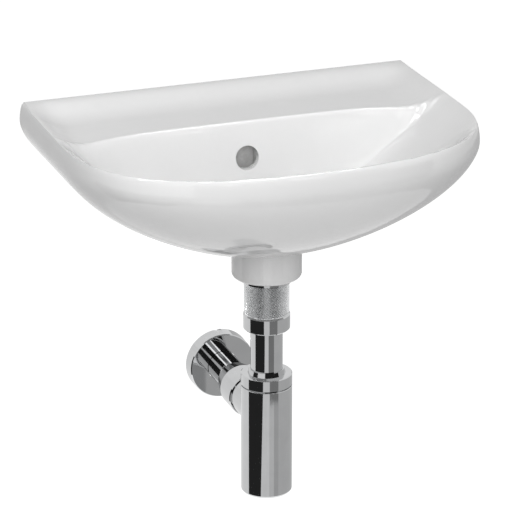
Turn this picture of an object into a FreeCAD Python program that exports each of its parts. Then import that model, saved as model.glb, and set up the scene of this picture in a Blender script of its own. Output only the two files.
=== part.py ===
"""Wall hung hand basin with push plug waste, bottle trap, outlet tube and wall rosette.

Units are millimetres.  +X is to the right of a person facing the wall, +Y points into the
wall and +Z is up.  The origin is midway between the two wall screw holes, on the wall face.
"""
import FreeCAD, Part
import math
import os

V = FreeCAD.Vector
UP = V(0, 0, 1)
TO_WALL = V(0, 1, 0)
FROM_WALL = V(0, -1, 0)

# Basin outline
HALF_WIDTH = 204.5          # widest point of the skirt
DEPTH = 298.0               # wall to the foremost point of the skirt
STRAIGHT_SIDE = 130.0       # length of the straight sides, measured from the wall
RIM_POWER = 2.65            # squareness of the front curve at the rim
FOOT_POWER = 2.25           # squareness of the front curve at the foot
TOP_Z = 50.0                # rim above the wall screws
WIDEST_DROP = 19.0          # widest level below the rim
SKIRT_HEIGHT = 114.0        # widest level down to the foot of the skirt
RIM_ROLL = 5.0              # how far the rim rolls in from the widest level
SIDE_FALL = 1.37            # power of the skirt's side curve
FRONT_FALL = 1.05           # power of the skirt's front curve
DROP_FALL = 1.19            # power of the skirt's downward curve
FOOT_HALF_WIDTH = 10.0      # half width of the flat foot
FOOT_SHIFT = 12.0           # how far the foot's outline lies nearer the wall
OUTER_STEPS = (16, 32, 6)   # levels, steps round the front curve and steps along a straight side
INNER_STEPS = (10, 20, 4)   # the same for the hollow side
ROLL_STEPS = 4              # steps down the rim's roll
OVERRUN = 12.0              # how far helper surfaces run past the casting
WALL_OVERRUN = 1.0          # how far the skirt runs past the wall face before it is cut there
TOUCH = 0.01                # points nearer each other than this are one point
SKIN_HEADINGS = 16          # directions in which the casting's wall is measured

# Bowl, deck and upstand
SIDE_RIM = 1.0              # widest point of the skirt to the bowl's side
FRONT_RIM = 8.0             # foremost point of the skirt to the bowl's front lip
BOWL_DEPTH = 113.0
BOWL_POWER = 1.07
DECK_DROP = 14.5            # deck below the rim
DECK_FALL = 3.0             # fall of the deck towards the bowl
DECK_EDGE = 83.0            # wall to the deck's front edge, at the middle
DECK_EDGE_BOW = 17.0        # how much further forward the edge runs at its ends
BACK_WALL_SLOPE = 6.0       # steepness of the bowl's back wall
DECK_EDGE_SPAN = 0.84       # where the bow reaches its full value, as a share of the bowl
LEDGE = 7.0                 # flat top of the upstand
UPSTAND_RUN = 22.0          # slope from the ledge down to the deck
DECK_BLEND = 8.0            # softness of the valley behind the deck
EDGE_BLEND = 14.0           # softness of the deck's front edge
CORNER_BLEND = 25.0         # softness of the bowl's inner corners
RIM_BLEND = 4.0             # softness of the rim's inner edge
GLAZE_STEPS = (44, 25, 16, 13)  # steps across, to the back wall, over it and to the wall face
HOLLOW_STEPS = (26, 14, 9, 8)   # the same for the hollow side
SUMP_SEAT_R = 33.0          # level seat round the drain
SUMP_R = 80.0               # where the bowl's own curve starts again
CERAMIC = 8.5               # wall of the casting
HOLLOW_DROP = 103.0         # rim to the lowest point of the hollow inside the casting
BACK_PLATE = 12.0           # plate that meets the wall
BACK_PLATE_HEIGHT = 80.0    # rim to the plate's lower edge
ACCESS_RADIUS = 72.0        # hand opening under the back plate
ACCESS_DROP = 150.0         # rim to the middle of that opening's curve
ACCESS_Y = 5.0              # wall face to the middle of that opening's curve

# Wall screws
SCREW_SPACING = 200.0
SCREW_HOLE_R = 7.0

# Drain axis and boss
DRAIN_Y = -143.0
BOSS_R = 34.5
BOSS_DROP = 156.0           # rim to the boss's lower face
BOSS_EDGE = 4.0             # rounding of the boss's lower edge
DRAIN_HOLE_R = 22.5
CHAMBER_R = 26.5            # overflow chamber inside the boss
CHAMBER_TOP_DROP = 126.0
CHAMBER_HEIGHT = 18.0

# Overflow
OVERFLOW_R = 12.0
OVERFLOW_DROP = 53.0        # rim to the overflow hole's centre
DUCT_WIDTH = 24.0
DUCT_GAP = 10.0             # front to back inside the duct
DUCT_WALL = 6.0
DUCT_RISE = 8.0             # rise of the duct's floor from the boss to the back
DUCT_HEIGHT = 14.0          # height of the duct under the bowl
DUCT_ROOF_DROP = 128.0      # rim to the duct's roof under the bowl
DUCT_OVERLAP = 3.0          # how far the duct runs into the chamber

# Waste
GAP = 0.05                  # radial clearance of screwed and seated pieces
RUN_GAP = 0.4               # clearance of pieces that move
WASTE_R = 20.4              # threaded body
WASTE_BORE_R = 17.4
WASTE_FLANGE_R = 31.0
WASTE_FLANGE_T = 2.5
FLANGE_PLAY = 0.5           # round the flange and its seal
FLANGE_SEAL_T = 1.5
PLUG_R = 27.5
PLUG_CROWN = 4.0
CROWN_STEPS = 8
SLOT_COUNT = 4
SLOT_WIDTH = 9.0
SLOT_HEIGHT = 12.0
SPIDER_DROP = 18.0          # bowl floor to the spider's upper face
SPIDER_T = 4.0
SPIDER_ARMS = 3
SPIDER_ARM_WIDTH = 4.0
SPIDER_HUB_R = 7.5
CARTRIDGE_R = 6.5
CARTRIDGE_HEIGHT = 8.0      # above the spider
CARTRIDGE_SHANK_R = 5.0
CARTRIDGE_SHANK = 14.0      # below the spider's upper face
CARTRIDGE_FLOOR = 1.5
PLUG_SEAL_T = 1.5
PLUG_SEAL_R = 24.5
PLUG_SEAL_BORE_R = 18.4
PLUG_EDGE = 1.5             # height of the plug's straight edge
PLUG_HUB_R = 6.0
PLUG_HUB_DROP = 4.0         # bowl floor to the hub's lower face
STEM_R = 2.4
STEM_LENGTH = 26.0
STEM_SCREWED = 3.0          # stem inside the plug's hub
SPRING_R = 4.4
SPRING_WIRE_R = 0.45
SPRING_TURNS = 4
SEAT_GAP = 0.3              # moving pieces stand this far off their seats

# Lock nut and union below the boss
BOSS_SEAL_R = 28.0
BOSS_SEAL_T = 1.2
BOSS_FLANGE_R = 25.5
BOSS_FLANGE_T = 3.2
SLEEVE_R = 22.4
SLEEVE_LENGTH = 34.6
KNURL_COUNT = 60
KNURL_DEPTH = 0.5
TAIL_NUT_R = 23.2
TAIL_NUT_LENGTH = 16.5
TAIL_NUT_LIP = 3.0
TAIL_NUT_CHAMFER = 1.2
TAIL_SEAL_T = 2.5

# Tubes
TUBE_R = 16.0
TUBE_WALL = 1.0
TUBE_COLLAR_R = 19.4
TUBE_COLLAR_T = 2.0

# Bottle trap
TRAP_R = 25.5
TRAP_WALL = 2.0
TRAP_TOP_DROP = 258.5       # rim to the trap's upper face
TRAP_BOTTOM_DROP = 386.0
TRAP_EDGE = 2.5
EDGE_STEPS = 5
CAP_EDGE = 0.8
GROOVE_EDGE = 0.4
CAP_HEIGHT = 12.0
GROOVE = 1.2                # parting groove between cap and body
CAP_SPIGOT_LENGTH = 9.0
CAP_SPIGOT_BORE_R = 20.5
CAP_TOP_T = 3.0
GLAND_R = 18.8
GLAND_TOP_R = 17.4
GLAND_HEIGHT = 4.5
CAP_SEAL_T = 5.0
TUBE_END_LIFT = 20.0        # trap floor to the inlet tube's lower end
CLEANING_R = 19.0           # cleaning plug in the trap's floor
CLEANING_FLANGE_R = 22.0
CLEANING_THREAD = 12.0      # height of the plug, flange included
CLEANING_FLANGE_T = 3.0
CLEANING_SEAL_T = 1.6
COIN_SLOT_WIDTH = 3.0
COIN_SLOT_LENGTH = 31.0
COIN_SLOT_DEPTH = 1.5

# Outlet
OUTLET_DROP = 303.5         # rim to the outlet's axis
SOCKET_R = 20.6
SOCKET_REACH = 72.0         # trap axis to the socket's mouth
SOCKET_BORE_R = 14.0
OUTLET_NUT_R = 22.4
OUTLET_NUT_START = 46.0     # trap axis to the nut's near end
OUTLET_NUT_LENGTH = 47.0
OUTLET_NUT_CONE = 20.0
OUTLET_NUT_MOUTH_R = 17.8
OUTLET_NUT_EDGE = 0.8
OUTLET_SEAL_T = 4.0
OUTLET_SEAL_R = 19.4
TUBE_INSERTION = 22.0       # outlet tube inside the socket
WALL_INSERTION = 30.0       # outlet tube past the wall face
INSERTION_MARK = 1.0        # width of the ring scored round the tube at the wall face
INSERTION_MARK_DEPTH = 0.3
ROSETTE_R = 35.0
ROSETTE_FRONT_R = 33.6
ROSETTE_DEPTH = 15.0
ROSETTE_SHEET = 1.0
ROSETTE_EDGE = 0.9
GRIP_T = 3.0                # rubber ring inside the rosette
GRIP_WALL = 3.0

# Places worked out from the sizes above
FAR = DEPTH + HALF_WIDTH
FRONT_REACH = DEPTH - STRAIGHT_SIDE
BOWL_HALF_WIDTH = HALF_WIDTH - SIDE_RIM
BOWL_REACH = FRONT_REACH - FRONT_RIM
RIM_BOTTOM = TOP_Z - WIDEST_DROP
FOOT_Z = RIM_BOTTOM - SKIRT_HEIGHT
BOWL_FLOOR_Z = TOP_Z - BOWL_DEPTH
TUBE_BORE_R = TUBE_R - TUBE_WALL
BOSS_Z = TOP_Z - BOSS_DROP
AXIS = V(0, DRAIN_Y, 0)
CHAMBER_TOP_Z = TOP_Z - CHAMBER_TOP_DROP
OVERFLOW_Z = TOP_Z - OVERFLOW_DROP
BACK_WALL_Y = -DECK_EDGE - (OVERFLOW_DROP - DECK_DROP - DECK_FALL) / BACK_WALL_SLOPE
DUCT_FRONT_Y = BACK_WALL_Y + DUCT_WALL
OUTLET_Z = TOP_Z - OUTLET_DROP
TRAP_AXIS = V(0, DRAIN_Y, OUTLET_Z)
WALL_POINT = V(0, 0, OUTLET_Z)
TRAP_TOP_Z = TOP_Z - TRAP_TOP_DROP
TRAP_FLOOR_Z = TOP_Z - TRAP_BOTTOM_DROP
RECESS_Z = BOWL_FLOOR_Z - WASTE_FLANGE_T - FLANGE_SEAL_T
SPIDER_Z = BOWL_FLOOR_Z - SPIDER_DROP
HUB_Z = BOWL_FLOOR_Z - PLUG_HUB_DROP
BOSS_SEAL_Z = BOSS_Z - BOSS_SEAL_T
BOSS_FLANGE_Z = BOSS_SEAL_Z - BOSS_FLANGE_T
SLEEVE_Z = BOSS_FLANGE_Z - SLEEVE_LENGTH
TAIL_NUT_Z = SLEEVE_Z - TAIL_NUT_LENGTH
COLLAR_TOP_Z = TAIL_NUT_Z + TAIL_NUT_LIP + TUBE_COLLAR_T
WASTE_END_Z = COLLAR_TOP_Z + TAIL_SEAL_T


def smooth_max(a, b, reach):
    """Larger of two heights, blended where they are within reach of each other."""
    share = max(reach - abs(a - b), 0.0) / reach
    return max(a, b) + share * share * reach / 4.0


def smooth_min(a, b, reach):
    return -smooth_max(-a, -b, reach)


def sharpened(points):
    """Control points whose cubic curve runs through the given points, very nearly."""
    poles = [points[0]]
    for before, here, after in zip(points, points[1:], points[2:]):
        poles.append(here - (before - here * 2 + after) * (1.0 / 6.0))
    return poles + [points[-1]]


def spline_face(rows):
    """Cubic surface through a grid of points."""
    rows = [sharpened(row) for row in rows]
    columns = [sharpened(list(column)) for column in zip(*rows)]
    poles = [list(row) for row in zip(*columns)]
    mults = []
    knots = []
    for count in (len(poles), len(poles[0])):
        inner = count - 4
        mults.append([4] + [1] * inner + [4])
        knots.append(list(range(inner + 2)))
    surface = Part.BSplineSurface()
    surface.buildFromPolesMultsKnots(poles, mults[0], mults[1], knots[0], knots[1], False, False, 3, 3)
    return surface.toShape()


def spread(low, high, count):
    return [low + (high - low) * i / (count - 1) for i in range(count)]


def box(x_half, y_low, y_high, z_low, z_high):
    return Part.makeBox(2 * x_half, y_high - y_low, z_high - z_low, V(-x_half, y_low, z_low))


def ring(r_out, r_in, low, high, centre=AXIS, axis=UP):
    """Tube whose ends lie low and high along the axis from the centre."""
    outer = Part.makeCylinder(r_out, high - low, centre + axis * low, axis)
    if r_in <= 0:
        return outer
    bore = Part.makeCylinder(r_in, high - low + 2 * OVERRUN, centre + axis * (low - OVERRUN), axis)
    return outer.cut(bore)


def turned(points, centre=AXIS, axis=UP):
    """Solid of revolution of (radius, distance along the axis) points."""
    wire = Part.makePolygon([V(r, 0, h) for r, h in points] + [V(points[0][0], 0, points[0][1])])
    solid = Part.Face(wire).revolve(V(0, 0, 0), UP, 360)
    solid.Placement = FreeCAD.Placement(centre, FreeCAD.Rotation(UP, axis))
    return solid


def prism_across(points, half_width):
    """Prism of (y, z) points, as wide as twice half_width across X."""
    corners = [V(-half_width, y, z) for y, z in points]
    return Part.Face(Part.makePolygon(corners + corners[:1])).extrude(V(2 * half_width, 0, 0))


def dish_height(x, y):
    """Height of the dished bowl, without its back wall."""
    across = abs(x) / BOWL_HALF_WIDTH
    forward = max(-STRAIGHT_SIDE - y, 0.0) / BOWL_REACH
    share = (across ** RIM_POWER + forward ** RIM_POWER) ** (2 / RIM_POWER)
    if share >= 1.0:
        return TOP_Z
    return TOP_Z - BOWL_DEPTH * (1.0 - share) ** BOWL_POWER


def bowl_height(x, y):
    """Height of the bowl with its level seat round the drain."""
    height = dish_height(x, y)
    out = (math.hypot(x, y - DRAIN_Y) - SUMP_SEAT_R) / (SUMP_R - SUMP_SEAT_R)
    out = min(max(out, 0.0), 1.0)
    sunk = 1.0 - out * out * (3.0 - 2.0 * out)
    return height + (BOWL_FLOOR_Z - height) * sunk


def deck_height(x, y):
    """Height of the deck, the upstand behind it and the bowl's back wall in front of it."""
    along = min((DECK_EDGE + y) / (DECK_EDGE - LEDGE - UPSTAND_RUN), 1.0)
    deck = TOP_Z - DECK_DROP - DECK_FALL * (1.0 - along)
    ramp = TOP_Z - (-LEDGE - y) * (DECK_DROP / UPSTAND_RUN)
    level = smooth_max(deck, ramp, DECK_BLEND)
    edge = -DECK_EDGE - DECK_EDGE_BOW * (abs(x) / BOWL_HALF_WIDTH / DECK_EDGE_SPAN) ** 5
    wall = TOP_Z - DECK_DROP - DECK_FALL + (y - edge) * BACK_WALL_SLOPE
    return smooth_min(level, wall, EDGE_BLEND)


def top_height(x, y):
    """Glazed upper surface: bowl, back wall, deck and upstand."""
    height = smooth_max(bowl_height(x, y), deck_height(x, y), CORNER_BLEND)
    return smooth_min(height, TOP_Z, RIM_BLEND)


def under_height(x, y):
    """Underside of the upper skin, one wall below the glazed surface in every direction."""
    lowest = top_height(x, y) - CERAMIC
    for angle in spread(0.0, 2 * math.pi, SKIN_HEADINGS + 1)[1:]:
        for tilt in (math.pi / 6, math.pi / 3, math.pi / 2):
            far = CERAMIC * math.sin(tilt)
            height = top_height(x + far * math.cos(angle), y + far * math.sin(angle))
            lowest = min(lowest, height - CERAMIC * math.cos(tilt))
    return lowest


def space_above(height_at, steps):
    """Everything above a height law, over the whole casting."""
    half = HALF_WIDTH + OVERRUN
    wall_foot = -DECK_EDGE - DECK_EDGE_BOW - OVERRUN
    wall_head = -DECK_EDGE + EDGE_BLEND / 2
    across = spread(-half, half, steps[0] + 1)
    along = spread(-DEPTH - OVERRUN, wall_foot, steps[1] + 1)[:-1]
    along += spread(wall_foot, wall_head, steps[2] + 1)[:-1]
    along += spread(wall_head, OVERRUN, steps[3] + 1)
    face = spline_face([[V(x, y, height_at(x, y)) for y in along] for x in across])
    return face.extrude(V(0, 0, 2 * BOWL_DEPTH))


def skirt_row(half_width, reach, centre_y, power, z, steps):
    """One level of the skirt, from the right wall edge round the front to the left one."""
    side = spread(WALL_OVERRUN, centre_y, steps[2] + 1)[:-1]
    row = [V(half_width, y, z) for y in side]
    for angle in spread(0.0, math.pi, steps[1] + 1):
        c = math.cos(angle)
        x = math.copysign(abs(c) ** (2 / power), c) * half_width
        row.append(V(x, centre_y - reach * max(math.sin(angle), 0.0) ** (2 / power), z))
    return row + [V(-half_width, y, z) for y in reversed(side)]


def skirt_rows(inset, steps):
    """Levels of the skirt from the top down, moved inwards by inset."""
    rows = []
    half = HALF_WIDTH - inset
    reach = FRONT_REACH - inset
    for rise in (OVERRUN, OVERRUN / 2):
        z = TOP_Z + rise
        rows.append(skirt_row(half - RIM_ROLL, reach - RIM_ROLL, -STRAIGHT_SIDE, RIM_POWER, z, steps))
    for angle in spread(math.pi / 2, 0.0, ROLL_STEPS + 1):
        roll = RIM_ROLL * (1 - math.cos(angle))
        z = RIM_BOTTOM + WIDEST_DROP * math.sin(angle)
        rows.append(skirt_row(half - roll, reach - roll, -STRAIGHT_SIDE, RIM_POWER, z, steps))
    last = math.acos((FOOT_HALF_WIDTH / HALF_WIDTH) ** (1 / SIDE_FALL))
    for angle in spread(0.0, last, steps[0] + 1)[1:]:
        c = math.cos(angle)
        s = math.sin(angle)
        z = RIM_BOTTOM - (SKIRT_HEIGHT - inset) * s ** DROP_FALL
        power = RIM_POWER + (FOOT_POWER - RIM_POWER) * s
        centre_y = -STRAIGHT_SIDE + FOOT_SHIFT * s * s
        rows.append(skirt_row(half * c ** SIDE_FALL, reach * c ** FRONT_FALL, centre_y, power, z, steps))
    return rows


def edge_between(edges, start, end):
    for edge in edges:
        reach = [v.Point for v in edge.Vertexes]
        for a, b in (reach, reach[::-1]):
            if a.distanceToPoint(start) < TOUCH and b.distanceToPoint(end) < TOUCH:
                return edge
    raise ValueError("the skirt has no edge between these corners")


def skirt_solid(inset, steps):
    """Closed solid inside the skirt, a little proud of the wall."""
    rows = skirt_rows(inset, steps)
    skin = spline_face(rows)
    top_right, top_left = rows[0][0], rows[0][-1]
    foot_right, foot_left = rows[-1][0], rows[-1][-1]
    across_top = Part.makeLine(top_right, top_left)
    across_foot = Part.makeLine(foot_right, foot_left)
    top = Part.Face(Part.Wire([edge_between(skin.Edges, top_right, top_left), across_top]))
    foot = Part.Face(Part.Wire([edge_between(skin.Edges, foot_right, foot_left), across_foot]))
    right = edge_between(skin.Edges, top_right, foot_right)
    left = edge_between(skin.Edges, top_left, foot_left)
    back = Part.Face(Part.Wire(Part.__sortEdges__([right, left, across_top, across_foot])))
    return Part.Solid(Part.Shell([skin, top, foot, back]))


def duct_side(wall):
    """Side view of the overflow passage as (y, z) points, grown by a wall."""
    front = DUCT_FRONT_Y - wall
    back = DUCT_FRONT_Y + DUCT_GAP + wall
    top = OVERFLOW_Z + OVERFLOW_R + wall
    roof = TOP_Z - DUCT_ROOF_DROP + wall
    mouth = DRAIN_Y + CHAMBER_R - DUCT_OVERLAP
    floor = TOP_Z - DUCT_ROOF_DROP - DUCT_HEIGHT - wall
    behind = [(back, top), (back, floor + DUCT_RISE)]
    below = [(mouth, floor), (mouth, roof), (front, roof)]
    return behind + below + [(front, top)]


def make_boss():
    boss = ring(BOSS_R, 0, BOSS_Z, RECESS_Z)
    rims = [e for e in boss.Edges if e.BoundBox.ZMax < BOSS_Z + TOUCH]
    return boss.makeFillet(BOSS_EDGE, rims)


def make_basin():
    above = space_above(top_height, GLAZE_STEPS)
    lowest = TOP_Z - HOLLOW_DROP
    clear_of_plate = box(FAR, -FAR, -BACK_PLATE, lowest, TOP_Z)
    clear_of_plate = clear_of_plate.fuse(box(FAR, -FAR, OVERRUN, lowest, TOP_Z - BACK_PLATE_HEIGHT))
    hollow = skirt_solid(CERAMIC, INNER_STEPS).cut(space_above(under_height, HOLLOW_STEPS))
    hollow = hollow.common(clear_of_plate)
    body = skirt_solid(0.0, OUTER_STEPS).cut(above).cut(hollow)
    hand = V(-FAR, ACCESS_Y, TOP_Z - ACCESS_DROP)
    body = body.cut(Part.makeCylinder(ACCESS_RADIUS, 2 * FAR, hand, V(1, 0, 0)))
    duct = prism_across(duct_side(DUCT_WALL), DUCT_WIDTH / 2 + DUCT_WALL)
    body = body.fuse(make_boss()).fuse(duct.cut(above))
    body = body.cut(prism_across(duct_side(0.0), DUCT_WIDTH / 2))
    body = body.cut(ring(CHAMBER_R, 0, CHAMBER_TOP_Z - CHAMBER_HEIGHT, CHAMBER_TOP_Z))
    body = body.cut(ring(DRAIN_HOLE_R, 0, BOSS_Z - OVERRUN, BOWL_FLOOR_Z + OVERRUN))
    body = body.cut(ring(WASTE_FLANGE_R + FLANGE_PLAY, 0, RECESS_Z, BOWL_FLOOR_Z + OVERRUN))
    overflow = V(0, BACK_WALL_Y, OVERFLOW_Z)
    body = body.cut(ring(OVERFLOW_R, 0, -OVERRUN, DUCT_WALL + DUCT_GAP / 2, overflow, TO_WALL))
    for side in (-1, 1):
        screw = V(side * SCREW_SPACING / 2, 0, 0)
        body = body.cut(ring(SCREW_HOLE_R, 0, -BACK_PLATE - OVERRUN, OVERRUN, screw, TO_WALL))
    return body.cut(box(FAR, 0.0, OVERRUN, FOOT_Z - OVERRUN, TOP_Z + OVERRUN))


def make_waste_body():
    """Flanged and slotted waste, with the spider that carries the catch."""
    under_flange = BOWL_FLOOR_Z - WASTE_FLANGE_T
    body = ring(WASTE_FLANGE_R, WASTE_BORE_R, under_flange, BOWL_FLOOR_Z)
    body = body.fuse(ring(WASTE_R, WASTE_BORE_R, WASTE_END_Z, under_flange))
    slot_z = CHAMBER_TOP_Z - CHAMBER_HEIGHT / 2 - SLOT_HEIGHT / 2
    for i in range(SLOT_COUNT):
        slot = Part.makeBox(WASTE_R + OVERRUN, SLOT_WIDTH, SLOT_HEIGHT, V(0, -SLOT_WIDTH / 2, 0))
        slot.rotate(V(0, 0, 0), UP, 360.0 / SLOT_COUNT * (i + 0.5))
        slot.translate(V(0, DRAIN_Y, slot_z))
        body = body.cut(slot)
    reach = (WASTE_BORE_R + WASTE_R) / 2
    spider = ring(SPIDER_HUB_R, 0, SPIDER_Z - SPIDER_T, SPIDER_Z)
    for i in range(SPIDER_ARMS):
        arm = Part.makeBox(reach, SPIDER_ARM_WIDTH, SPIDER_T, V(0, -SPIDER_ARM_WIDTH / 2, 0))
        arm.rotate(V(0, 0, 0), UP, 360.0 / SPIDER_ARMS * i)
        arm.translate(V(0, DRAIN_Y, SPIDER_Z - SPIDER_T))
        spider = spider.fuse(arm)
    hole = ring(CARTRIDGE_SHANK_R + GAP, 0, SPIDER_Z - SPIDER_T, SPIDER_Z)
    return body.fuse(spider).cut(hole)


def make_waste_flange_seal():
    return ring(WASTE_FLANGE_R, WASTE_R + GAP, RECESS_Z, RECESS_Z + FLANGE_SEAL_T)


def make_push_plug():
    """Domed cover with a short hub that is bored for the stem."""
    low = BOWL_FLOOR_Z + SEAT_GAP + PLUG_SEAL_T
    points = [(0, HUB_Z), (PLUG_HUB_R, HUB_Z), (PLUG_HUB_R, low), (PLUG_R, low), (PLUG_R, low + PLUG_EDGE)]
    for share in spread(1.0, 0.0, CROWN_STEPS + 1)[1:]:
        points.append((PLUG_R * share, low + PLUG_EDGE + PLUG_CROWN * math.sqrt(1.0 - share ** 3)))
    return turned(points).cut(ring(STEM_R + GAP, 0, HUB_Z, HUB_Z + STEM_SCREWED + GAP))


def make_push_plug_seal():
    low = BOWL_FLOOR_Z + SEAT_GAP
    return ring(PLUG_SEAL_R, PLUG_SEAL_BORE_R, low, low + PLUG_SEAL_T)


def make_push_plug_stem():
    top = HUB_Z + STEM_SCREWED
    return ring(STEM_R, 0, top - STEM_LENGTH, top)


def make_plug_catch():
    body = ring(CARTRIDGE_R, 0, SPIDER_Z, SPIDER_Z + CARTRIDGE_HEIGHT)
    body = body.fuse(ring(CARTRIDGE_SHANK_R, 0, SPIDER_Z - CARTRIDGE_SHANK, SPIDER_Z))
    low = SPIDER_Z - CARTRIDGE_SHANK + CARTRIDGE_FLOOR
    return body.cut(ring(STEM_R + RUN_GAP, 0, low, SPIDER_Z + CARTRIDGE_HEIGHT))


def arc_from(start, heading, end):
    """Arc that leaves start along heading and ends at end."""
    chord = end - start
    length = chord.Length
    half_turn = math.acos(chord.dot(heading) / length)
    bow = (heading * length - chord * math.cos(half_turn)).normalize()
    middle = start + chord * 0.5 + bow * (length / 2 * math.tan(half_turn / 2))
    return Part.Arc(start, middle, end).toShape()


def coil_path(radius, height, turns):
    """Helix about +Z as pairs of tangent arcs, one pair for each quarter turn."""
    places = []
    for angle in spread(0.0, 2 * math.pi * turns, 4 * turns + 1):
        rise = height / (2 * math.pi * turns)
        place = V(radius * math.cos(angle), radius * math.sin(angle), rise * angle)
        places.append((place, V(-radius * math.sin(angle), radius * math.cos(angle), rise).normalize()))
    edges = []
    for (start, leave), (end, arrive) in zip(places, places[1:]):
        chord = end - start
        ahead = chord.dot(leave + arrive)
        turn = 2 * (1 - leave.dot(arrive))
        reach = (math.sqrt(ahead * ahead + turn * chord.dot(chord)) - ahead) / turn
        joint = (start + end + (leave - arrive) * reach) * 0.5
        edges += [arc_from(start, leave, joint), arc_from(end, arrive * -1, joint)]
    return Part.Wire(edges), places[0]


def make_plug_spring():
    """Coil on the stem, between the catch and the plug's hub."""
    low = SPIDER_Z + CARTRIDGE_HEIGHT + SPRING_WIRE_R
    height = HUB_Z - SEAT_GAP - SPRING_WIRE_R - low
    path, (start, heading) = coil_path(SPRING_R, height, SPRING_TURNS)
    section = Part.Wire(Part.makeCircle(SPRING_WIRE_R, start, heading))
    coil = path.makePipeShell([section], True, False)
    coil.translate(V(0, DRAIN_Y, low))
    return coil


def make_boss_seal():
    return ring(BOSS_SEAL_R, WASTE_R + GAP, BOSS_SEAL_Z, BOSS_Z)


def make_boss_flange():
    return ring(BOSS_FLANGE_R, WASTE_R + GAP, BOSS_FLANGE_Z, BOSS_SEAL_Z)


def make_knurled_sleeve():
    points = []
    for i in range(2 * KNURL_COUNT):
        angle = math.pi * i / KNURL_COUNT
        r = SLEEVE_R - KNURL_DEPTH * (i % 2)
        points.append(V(r * math.cos(angle), DRAIN_Y + r * math.sin(angle), SLEEVE_Z))
    sleeve = Part.Face(Part.makePolygon(points + points[:1])).extrude(UP * SLEEVE_LENGTH)
    return sleeve.cut(ring(WASTE_R + GAP, 0, SLEEVE_Z, BOSS_FLANGE_Z))


def make_tail_nut():
    top = TAIL_NUT_Z + TAIL_NUT_LENGTH
    edge = TAIL_NUT_CHAMFER
    thread = WASTE_R + GAP
    lip = TUBE_R + GAP
    seat = TAIL_NUT_Z + TAIL_NUT_LIP
    outside = [(TAIL_NUT_R - edge, TAIL_NUT_Z), (TAIL_NUT_R, TAIL_NUT_Z + edge)]
    outside += [(TAIL_NUT_R, top - edge), (TAIL_NUT_R - edge, top)]
    return turned([(lip, TAIL_NUT_Z)] + outside + [(thread, top), (thread, seat), (lip, seat)])


def make_tail_seal():
    return ring(TUBE_COLLAR_R, TUBE_BORE_R, COLLAR_TOP_Z, WASTE_END_Z)


def make_inlet_tube():
    tube = ring(TUBE_R, TUBE_BORE_R, TRAP_FLOOR_Z + TUBE_END_LIFT, COLLAR_TOP_Z)
    return tube.fuse(ring(TUBE_COLLAR_R, TUBE_BORE_R, COLLAR_TOP_Z - TUBE_COLLAR_T, COLLAR_TOP_Z))


def make_gland_ring():
    bore = TUBE_R + GAP
    top = TRAP_TOP_Z + GLAND_HEIGHT
    return turned([(bore, TRAP_TOP_Z), (GLAND_R, TRAP_TOP_Z), (GLAND_TOP_R, top), (bore, top)])


def make_trap_cap():
    spigot = TRAP_R - TRAP_WALL - GAP
    hole = TUBE_R + GAP
    low = TRAP_TOP_Z - CAP_HEIGHT
    end = low - GROOVE - CAP_SPIGOT_LENGTH
    roof = TRAP_TOP_Z - CAP_TOP_T
    points = [(hole, roof), (hole, TRAP_TOP_Z), (TRAP_R - CAP_EDGE, TRAP_TOP_Z)]
    points += [(TRAP_R, TRAP_TOP_Z - CAP_EDGE), (TRAP_R, low + GROOVE_EDGE), (TRAP_R - GROOVE_EDGE, low)]
    points += [(spigot, low), (spigot, end), (CAP_SPIGOT_BORE_R, end), (CAP_SPIGOT_BORE_R, roof)]
    return turned(points)


def make_trap_cap_seal():
    roof = TRAP_TOP_Z - CAP_TOP_T
    return ring(CAP_SPIGOT_BORE_R - GAP, TUBE_R + GAP, roof - CAP_SEAL_T, roof)


def make_trap_body():
    """Cup with a threaded hole in its floor and the outlet socket on its back."""
    top = TRAP_TOP_Z - CAP_HEIGHT - GROOVE
    floor = TRAP_FLOOR_Z
    inner = TRAP_R - TRAP_WALL
    thread = CLEANING_R + RUN_GAP
    rebate = floor + CLEANING_FLANGE_T + CLEANING_SEAL_T
    points = [(CLEANING_FLANGE_R, floor)]
    for angle in spread(0.0, math.pi / 2, EDGE_STEPS + 1):
        r = TRAP_R - TRAP_EDGE * (1 - math.sin(angle))
        points.append((r, floor + TRAP_EDGE * (1 - math.cos(angle))))
    points += [(TRAP_R, top - GROOVE_EDGE), (TRAP_R - GROOVE_EDGE, top), (inner, top)]
    points += [(inner, floor + CLEANING_THREAD), (thread, floor + CLEANING_THREAD)]
    points += [(thread, rebate), (CLEANING_FLANGE_R, rebate)]
    middle = (inner + TRAP_R) / 2
    socket = ring(SOCKET_R, 0, 0, SOCKET_REACH, TRAP_AXIS, TO_WALL)
    socket = socket.cut(ring(middle, 0, -2 * SOCKET_R, 2 * SOCKET_R, TRAP_AXIS, UP))
    body = turned(points).fuse(socket)
    body = body.cut(ring(SOCKET_BORE_R, 0, 0, SOCKET_REACH, TRAP_AXIS, TO_WALL))
    return body.cut(ring(TUBE_R + GAP, 0, SOCKET_REACH - TUBE_INSERTION, SOCKET_REACH, TRAP_AXIS, TO_WALL))


def make_cleaning_plug():
    low = TRAP_FLOOR_Z
    flange = CLEANING_FLANGE_R - RUN_GAP
    plug = ring(flange, 0, low, low + CLEANING_FLANGE_T)
    plug = plug.fuse(ring(CLEANING_R, 0, low, low + CLEANING_THREAD))
    slot = box(COIN_SLOT_WIDTH / 2, -COIN_SLOT_LENGTH / 2, COIN_SLOT_LENGTH / 2, 0, COIN_SLOT_DEPTH)
    slot.translate(V(0, DRAIN_Y, low))
    return plug.cut(slot)


def make_cleaning_plug_seal():
    low = TRAP_FLOOR_Z + CLEANING_FLANGE_T
    return ring(CLEANING_FLANGE_R - RUN_GAP, CLEANING_R + RUN_GAP, low, low + CLEANING_SEAL_T)


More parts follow.
